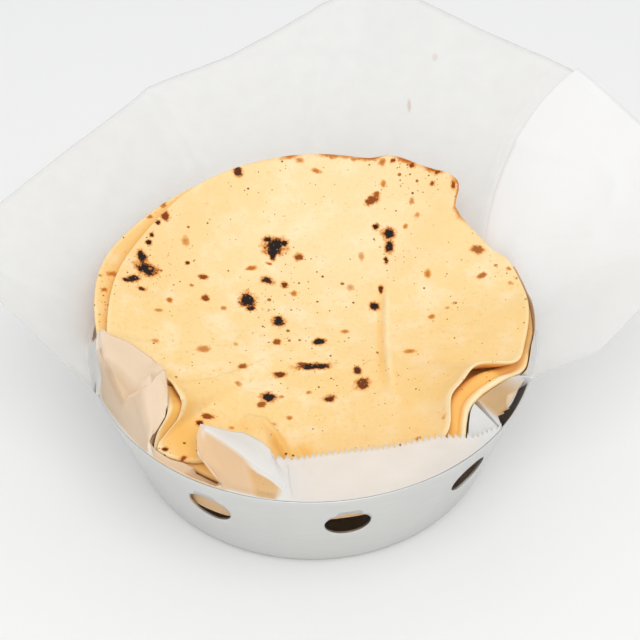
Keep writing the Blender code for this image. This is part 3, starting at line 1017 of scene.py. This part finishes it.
# Toasted patches that stay brown or orange: x, y, half length, half width in mm, turn, strength.
TOASTED = (
    (-34, 52, 3.0, 1.6, 15, 0.7),
    (-24, 56, 2.0, 1.0, -20, 0.9),
    (-10, 35, 1.8, 2.2, 0, 0.6),
    (-78, 19, 1.6, 1.6, 0, 0.7),
    (-83, 10, 2.4, 1.4, 20, 0.5),
    (-49, 21, 1.6, 1.5, 0, 0.6),
    (-67, 34, 1.2, 1.2, 0, 0.6),
    (-72, 65, 1.8, 3.2, 0, 0.5),
    (-83, -14, 2.0, 1.8, 0, 0.5),
    (-58, -14, 4.0, 2.2, 20, 0.5),
    (-41, -7, 1.3, 1.6, 0, 0.4),
    (-39, -38, 1.7, 1.5, 0, 0.5),
    (-6, 120, 2.4, 1.6, 0, 0.5),
    (4, 114, 2.8, 1.2, -20, 0.6),
    (13, 121, 1.6, 1.2, 0, 0.5),
    (26, 119, 1.8, 1.2, 0, 0.5),
    (43, 113, 2.0, 2.4, 0, 0.6),
    (43, 101, 1.6, 1.8, 0, 0.6),
    (59, 89, 1.4, 1.8, 0, 0.5),
    (62, 80, 1.4, 1.6, 0, 0.5),
    (55, 75, 1.4, 1.4, 0, 0.6),
    (18, 5, 2.2, 1.6, 0, 0.6),
    (22, 38, 1.8, 2.2, 0, 0.4),
    (29, 59, 1.6, 3.2, 0, 0.4),
    (66, 43, 1.8, 2.8, 0, 0.6),
    (66, 12, 1.8, 1.9, 0, 0.6),
    (52, -15, 2.8, 1.7, 0, 0.6),
    (79, 20, 1.4, 1.2, 0, 0.4),
    (75, 17, 1.3, 1.0, 0, 0.4),
    (104, 43, 1.3, 0.9, 0, 0.6),
    (111, 40, 1.4, 1.3, 0, 0.7),
    (115, 32, 1.5, 1.3, 0, 0.7),
    (111, 29, 1.8, 1.4, -30, 0.5),
    (117, 12, 1.2, 1.4, 0, 0.6),
    (-12, -60, 1.6, 1.4, 0, 0.6),
    (-20, -65, 1.4, 1.4, 0, 0.4),
    (-41, -69, 1.4, 1.2, 0, 0.5),
    (-2, -42, 1.4, 1.2, 0, 0.6),
    (52, -81, 1.4, 1.2, 0, 0.6),
    (65, -73, 1.3, 1.3, 0, 0.4),
    (-16, -45, 1.5, 1.0, 0, 0.5),
    (-110, 32, 3.2, 2.4, 20, 0.6),
    (-113, 18, 2.2, 1.6, 20, 0.7),
    (-116, 28, 1.0, 1.0, 0, 0.6),
    (-110, -12, 2.0, 1.2, -20, 0.8),
    (-86, 90, 1.8, 2.4, 0, 0.7),
    (-93, 81, 1.6, 1.4, 0, 0.7),
)
# Areas peppered with fine scorch marks: x, y, half length, half width in mm, turn, strength.
PEPPERED = (
    (-90, 42, 16, 24, -15, 1.0),
    (-15, 20, 16, 44, 5, 0.75),
    (62, 100, 22, 12, -40, 0.8),
    (-112, 10, 6, 26, 0, 0.7),
    (20, -30, 24, 18, 0, 0.3),
    (105, 35, 12, 20, 30, 0.35),
    (-65, -85, 18, 8, 0, 0.5),
    (43, 64, 9, 17, 0, 1.0),
    (-22, 66, 11, 12, 0, 0.9),
    (-34, 27, 10, 10, 0, 0.9),
    (-96, 36, 12, 16, 0, 1.0),
    (-18, 13, 8, 8, 0, 0.9),
    (0, -22, 13, 6, 0, 0.9),
    (26, -34, 8, 10, 0, 0.9),
)
# The long fold across the top bread, as x and y in mm.
LONG_FOLD = (
    (93, 106), (87, 84), (75, 72), (57, 66), (48, 61), (43, 54), (41, 34), (39, -4), (39, -29),
    (40, -48),
)
# How far along the long fold it is slack, and where it turns crisp, in mm.
SLACK_LENGTH = 75
CRISP_FROM = 88
CRISP_GROWS = 18
# Ruffles and soft creases of the top bread: x and y in mm along each, its height and half width.
RUFFLES = (
    (((-36, -66), (-32, -63), (-25, -64), (-19, -73), (-13, -88), (-11, -98)), 3.4, 2.4),
    (((-27, -72), (-18, -82), (-12, -98)), -2.2, 2.8),
    (((-9, -80), (-6, -88), (-4, -98)), 2.0, 2.0),
    (((-46, 77), (-49, 52), (-48, 34)), 0.6, 1.6),
    (((22, -46), (22, -56), (23, -72)), 0.8, 1.5),
    (((62, 6), (72, -4), (84, -10)), 0.8, 2.0),
    (((-106, 14), (-88, 15), (-70, 26), (-56, 40)), 0.9, 3.0),
)
# Painted warm shade: areas coloured a deeper gold where folds and hollows hold orange light and
# shade: x, y, half length, half width in mm, turn and strength.
WARM_SHADE_AREAS = (
    (-64, -76, 26, 16, -55, 0.85),
    (0, -92, 80, 22, 0, 0.45),
    (66, -42, 60, 46, 60, 0.40),
    (-16, -80, 4, 13, 25, 0.9),
    (-4, -84, 3, 7, 25, 0.7),
    (-35, -68, 5, 3, -20, 0.5),
    (-66, 82, 34, 22, 40, 0.35),
    (62, 60, 30, 14, 35, 0.35),
    (-95, 42, 20, 26, -20, 0.35),
)
# Parts of the breads' edges: angle, half width and squareness.
LEFT_FOLD = (-135, 6, 4)
RIGHT_FOLD = (-36, 18, 6)
ROLLED_EDGE = (-34, 15, 4)
BAKED_SIDE = (70, 32, 6)
BAKED_EDGE = 2.2 * MM
# How far back the top bread's face has turned its palest.
PALER_TO_BACK_FROM = 60 * MM

# The top face's soft unevenness: length in metres, seed, and height in mm.
UNEVEN_FACE = ((0.045, 3, 0.4), (0.014, 5, 0.13))
FLAT_EDGE = 12

DOUGH = ((0.94, 0.66, 0.29), (0.95, 0.71, 0.37))
FLOURED = (0.97, 0.80, 0.53)
FINE_BROWN = (0.88, 0.52, 0.18)
# Painted warm shade in folds, hollows and under overhangs.
WARM_SHADE_GOLD = (0.91, 0.50, 0.12)
# The toasted underside, deepened by painted shade.
TOASTED_UNDERSIDE_SHADE = (0.86, 0.42, 0.09)
# Paler edges, with painted highlights on them and on the long fold's crest.
PALE_EDGE_HIGHLIGHT = (0.98, 0.80, 0.50)
TOAST_ORANGE = (0.76, 0.29, 0.04)
TOAST_BROWN = (0.38, 0.085, 0.008)
CHAR_HALO = (0.74, 0.27, 0.035)
BURNT = (0.25, 0.055, 0.007)
COAL = (0.014, 0.010, 0.008)
# Fine specks: scale, largest size, how rare they are, how much commoner where it is peppered, tint.
SPECKS = (
    (170, 0.14, 0.975, 0.47, (0.45, 0.15, 0.02)),
    (300, 0.17, 0.96, 0.54, (0.24, 0.07, 0.012)),
    (620, 0.22, 0.93, 0.45, (0.45, 0.17, 0.04)),
)


def ripples(place, length, seed, count=14):
    """Soft unevenness of about this length, from -1 to 1."""
    draw = np.random.RandomState(seed)
    total = 0
    for _ in range(count):
        turn, phase = draw.uniform(0, math.tau), draw.uniform(0, math.tau)
        stretch = draw.uniform(0.7, 1.4)
        along = place[..., 0] * math.cos(turn) + place[..., 1] * math.sin(turn)
        total = total + np.sin(along * math.tau / (length * stretch) + phase)
    return total / math.sqrt(count * 2)


def in_oval(place, x, y, length, width, turn):
    """A point's place in a turned oval, along it and across it, where 1 is its outline."""
    swing = math.radians(turn)
    dx, dy = place[..., 0] / MM - x, place[..., 1] / MM - y
    along = dx * math.cos(swing) + dy * math.sin(swing)
    across = dy * math.cos(swing) - dx * math.sin(swing)
    return along / length, across / width


def patches(place, table):
    """How deep a point lies in the nearest patch: 1 in its middle, 0 on its outline."""
    depth = np.full(place.shape[:-1], -1.0)
    weight = np.zeros(place.shape[:-1])
    for *oval, strength in table:
        here = 1 - np.hypot(*in_oval(place, *oval))
        weight = np.where(here > depth, strength, weight)
        depth = np.maximum(here, depth)
    return depth, weight


def warm_shade_at(place):
    """How much painted warm shade lies, softly, in the shaded areas."""
    total = 0
    for *oval, strength in WARM_SHADE_AREAS:
        along, across = in_oval(place, *oval)
        total = total + strength * np.exp(-along ** 2 - across ** 2)
    return np.clip(total, 0, 1)


def hump(away, middle, width):
    """A smooth hump across a fold: 1 at its middle."""
    return np.exp(-((away - middle) / width) ** 2)


def long_fold(place, fading):
    """Distance from the long fold, and how slack and how crisp it is there."""
    away, travelled, length = beside(place, LONG_FOLD)
    slack = np.clip(1 - travelled / SLACK_LENGTH, 0, 1)
    crisp = ramp(travelled, CRISP_FROM, CRISP_FROM + CRISP_GROWS)
    return away, slack, crisp * ramp(travelled, length, length - fading)


def top_relief(place, share):
    """What the top bread's face adds to the stack's shape, in metres."""
    away, slack, crisp = long_fold(place, 28)
    valley = -3.6 * slack * hump(away, 1, 6.5)
    ridge = 2.0 * hump(away, 1.8, 2.2) - 1.0 * hump(away, -1.6, 1.7)
    relief = valley + ridge * crisp
    for route, height, width in RUFFLES:
        away, travelled, length = beside(place, route)
        ends = np.clip(travelled / 5, 0, 1) * np.clip((length - travelled) / 5 + 0.4, 0, 1)
        relief = relief + height * np.exp(-(away / width) ** 2) * ends
    for length, seed, height in UNEVEN_FACE:
        relief = relief + ripples(place, length, seed) * height
    return relief * MM * (1 - share ** FLAT_EDGE)


def bread_profile(upper, under):
    """A flat round bread in shares of its reach, its edge rounded."""
    edge = BREAD / 2 / BREAD_RADIUS
    profile = [((1 - edge) * (1 - (1 - ring / upper) ** RING_CROWDING), 1) for ring in range(upper)]
    for step in range(ROUNDING + 1):
        turn = math.pi * step / ROUNDING
        profile.append((1 - edge + edge * math.sin(turn), math.cos(turn)))
    return profile + [((1 - edge) * ring / under, -1) for ring in range(under - 1, -1, -1)]


def bread_face(layer, angle, share):
    """A bread's upper face."""
    reach = layer_reach(layer, angle)
    face = around(angle, share * reach, layer_top(layer, angle, share * reach))
    if layer == 0:
        face[..., 2] += top_relief(face, share)
    if layer == 1:
        inward = reach * (1 - share) / MM
        rolled = 1.2 * hump(inward, 2, 2.2) - 0.8 * hump(inward, 5.6, 1.2) + 4.0 * hump(inward, 10.5, 5)
        face[..., 2] += rolled * MM * bell(angle, *ROLLED_EDGE)
    return face


def bread_looks(layer, face, angle, share, level):
    """What the finish needs to know at every point: its marks, its edge, and its painted shade and
    highlights.
    """
    top, upward = layer == 0, level > 0
    inward = layer_reach(layer, angle) * (1 - share)
    char, char_weight = patches(face, SPOTS)
    toast, toast_weight = patches(face, TOASTED)
    pepper, pepper_weight = patches(face, PEPPERED)
    baked = (1 - inward / BAKED_EDGE) * top
    baked_weight = 0.5 * bell(angle, *BAKED_SIDE) * (1 + ripples(face, 0.016, 8))
    toast_weight = np.where(baked > toast, baked_weight, toast_weight)

    # The edge band: paler dough with a painted highlight, stronger in the two folds where the edge
    # curls.
    fold = np.clip(bell(angle, *LEFT_FOLD) + bell(angle, *RIGHT_FOLD), 0, 1)
    band = np.clip(2.2 - inward / ((1.1 + 0.7 * fold) * MM), 0, 1)
    # Painted shade on the lower breads where the top one overhangs them, and on the second bread under
    # the top one's curled edge.
    beyond = np.hypot(face[:, 0], face[:, 1]) - layer_reach(0, angle)
    shade_under_top = np.clip(1 - beyond / (6 * MM), 0, 1) * 0.6 * (not top)
    if layer == 1:
        shade_under_top = shade_under_top + (ramp(inward / MM, 3.8, 4.8) - shade_under_top) * bell(angle, *RIGHT_FOLD)
    away, slack, crisp = long_fold(face, 25)
    # Painted highlight along the long fold's crest.
    crest_highlight_and_pale_back = hump(away, 1.6, 1.7) * crisp * top
    # Painted shade along the long fold's valley.
    hollow_shade = (0.5 * hump(away, -2.2, 2) * crisp + 0.4 * hump(away, -4, 6) * slack) * top
    # The top bread's upper face turns paler towards the back.
    paler_to_back = 0.5 * np.clip(face[:, 1] / PALER_TO_BACK_FROM, 0, 1) * upward * top
    return {
        "char": np.where(upward & top, char, -1),
        "char_weight": char_weight,
        "toast": np.where(upward & (layer < 2), np.maximum(toast, baked), -1),
        "toast_weight": toast_weight,
        "pepper": np.clip(pepper * 1.6, 0, 1) * pepper_weight * upward,
        # Paler edge band with a painted highlight.
        "rim": band * (0.35 + 0.65 * fold) * (level > -0.6),
        # The underside: its toasting, deepened by painted shade.
        "under": np.clip(-level, 0, 1),
        # Painted highlight on the fold's crest, and paler towards the back.
        "crest_highlight_and_pale_back": np.maximum(crest_highlight_and_pale_back, paler_to_back),
        # Painted warm shade, deeper on each lower bread.
        "painted_warm_shade": np.clip(warm_shade_at(face) + shade_under_top + 0.12 * layer + hollow_shade, 0, 1),
    }


def bread(layer, finish):
    name = f"chapati_bread_{LAYERS - layer}"
    upper, under, spokes = FINENESS[layer]
    mesh = spun(name, bread_profile(upper, under), spokes)
    points = points_of(mesh)
    share, level = np.hypot(points[:, 0], points[:, 1]), points[:, 2]
    turn = np.degrees(np.arctan2(points[:, 1], points[:, 0]))
    angle = turn - sum(SPOKE_CROWDING * (turn - place) * hump(turn, place, width)
                       for place, width in CROWDED)
    face = bread_face(layer, angle, share)
    face[:, 2] -= (1 - level) / 2 * BREAD
    move_points(mesh, face)
    for kept, values in bread_looks(layer, face, angle, share, level).items():
        store(mesh, kept, values)
    piece = show(name, mesh, finish)
    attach(piece, "root")
    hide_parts(f"chapati_{LAYERS - layer}")


def griddled_bread():
    """Matt floury dough, from pale to gold, with painted warm shade and highlights, toasted and burnt
    blisters and fine specks.
    """
    finish = new_finish("griddled chapati", {
        "Roughness": 0.72, "Specular IOR Level": 0.2, "Subsurface Weight": 0.12,
        "Subsurface Scale": 0.004, "Subsurface Radius": (1.0, 0.45, 0.2)})

    def times(first, second):
        return work(finish, "MULTIPLY", first, second)

    def plus(first, second):
        return work(finish, "ADD", first, second)

    def swing(scale, detail, roughness, size):
        """Noise that swings either way from zero."""
        cloud = noise(finish, scale, detail, roughness)
        return times(work(finish, "SUBTRACT", cloud, 0.5), size)

    broad = noise(finish, 9, 3)
    patchy = noise(finish, 55, 4, 0.6)
    fine = noise(finish, 420, 3, 0.6)
    color = blend(finish, between(finish, broad, 0.35, 0.65), *DOUGH)
    color = blend(finish, times(between(finish, patchy, 0.45, 0.7), 0.7), color, FLOURED)
    color = blend(finish, times(between(finish, fine, 0.5, 0.75), 0.4), color, FINE_BROWN)
    # Painted warm shade.
    color = blend(finish, times(reading(finish, "painted_warm_shade"), 0.9), color, WARM_SHADE_GOLD)
    # Toasted underside, deepened by painted shade.
    color = blend(finish, times(reading(finish, "under"), 0.8), color, TOASTED_UNDERSIDE_SHADE)
    # Paler edge band and fold crest: partly paler dough, partly painted highlight.
    pale = work(finish, "MAXIMUM", reading(finish, "rim"), times(reading(finish, "crest_highlight_and_pale_back"), 0.7))
    color = blend(finish, times(pale, 0.85), color, PALE_EDGE_HIGHLIGHT)

    ragged = plus(swing(260, 3, 0.65, 1.9), swing(800, 2, 0.5, 0.8))
    toast = plus(reading(finish, "toast"), times(ragged, 0.8))
    toast_weight = reading(finish, "toast_weight")
    toasted = times(between(finish, toast, -0.45, 0.25), between(finish, toast_weight, 0.0, 0.75))
    color = blend(finish, toasted, color, TOAST_ORANGE)
    color = blend(finish, times(between(finish, toast, 0.0, 0.7), toast_weight), color, TOAST_BROWN)

    char = plus(reading(finish, "char"), ragged)
    char_weight = reading(finish, "char_weight")
    color = blend(finish, times(between(finish, char, -0.8, 0.0), 0.9), color, CHAR_HALO)
    burnt = times(between(finish, char, -0.2, 0.15), between(finish, char_weight, 0.0, 0.7))
    color = blend(finish, burnt, color, BURNT)
    coal = times(between(finish, char, 0.0, 0.3), between(finish, char_weight, 0.65, 0.9))
    color = blend(finish, coal, color, COAL)

    pepper = reading(finish, "pepper")
    for scale, size, rarity, commoner, tint in SPECKS:
        cells = add_node(finish, "TexVoronoi", {"Vector": own_place(finish), "Scale": scale})
        chance = add_node(finish, "SeparateColor", {"Color": cells.outputs["Color"]})
        likely = plus(chance.outputs["Red"], times(pepper, commoner))
        lucky = work(finish, "GREATER_THAN", likely, rarity)
        width = plus(times(chance.outputs["Green"], size), 0.1)
        dot = work(finish, "SUBTRACT", width, cells.outputs["Distance"])
        dot = between(finish, plus(dot, times(ragged, 0.08)), 0.0, 0.07)
        color = blend(finish, times(dot, lucky), color, tint)
    feed(finish, color, "Base Color")

    relief = plus(times(patchy, 0.6), times(fine, 0.25))
    add_relief(finish, work(finish, "SUBTRACT", relief, times(coal, 0.2)), 0.5, 0.8 * MM)
    return finish


bread_finish = griddled_bread()
for depth in range(LAYERS):
    bread(depth, bread_finish)
